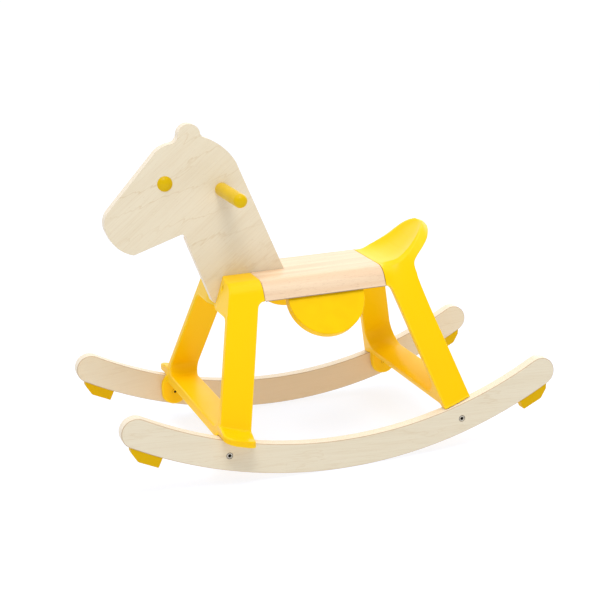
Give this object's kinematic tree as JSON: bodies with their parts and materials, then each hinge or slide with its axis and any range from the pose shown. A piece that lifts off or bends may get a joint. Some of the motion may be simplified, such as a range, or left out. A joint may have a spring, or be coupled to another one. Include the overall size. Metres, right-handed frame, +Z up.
{
  "type": "rocking horse",
  "caption": "Toddler's wooden rocking horse: plywood head and curved rockers, beech seat, splayed moulded leg frames with footrests, swept-up saddle back and round handles.",
  "frame": {"origin": "middle of the footprint on the ground, with the horse at rest and its seat level", "axes": "+X towards the head, +Y to the horse's left, +Z up"},
  "size_m": [0.7006, 0.413, 0.524],
  "materials": {
    "birch_ply": "birch plywood, clear matt varnish",
    "beech": "solid beech, clear matt varnish",
    "yellow_plastic": "moulded, satin gloss",
    "yellow_paint": "painted wood, satin",
    "stop_rubber": "soft moulded rubber, satin",
    "steel": "zinc-plated steel"
  },
  "bodies": {
    "root": {"head_plate": "birch_ply", "seat_block": "beech", "front_frame": "yellow_plastic", "rear_frame": "yellow_plastic", "left_rocker": "birch_ply", "right_rocker": "birch_ply", "left_front_stop": "stop_rubber", "right_front_stop": "stop_rubber", "left_rear_stop": "stop_rubber", "right_rear_stop": "stop_rubber", "left_handle": "yellow_paint", "right_handle": "yellow_paint", "handle_stud": "steel", "left_eye": "yellow_paint", "right_eye": "yellow_paint", "left_flap": "yellow_plastic", "right_flap": "yellow_plastic", "rocker_bolts": "steel", "rocker_sleeve_nuts": "steel", "stop_screws": "steel", "head_screws": "steel", "flap_dowels": "beech", "front_frame_screws": "steel", "rear_frame_screws": "steel", "front_seat_dowels": "beech", "rear_seat_dowels": "beech"}
  },
  "joints": []
}
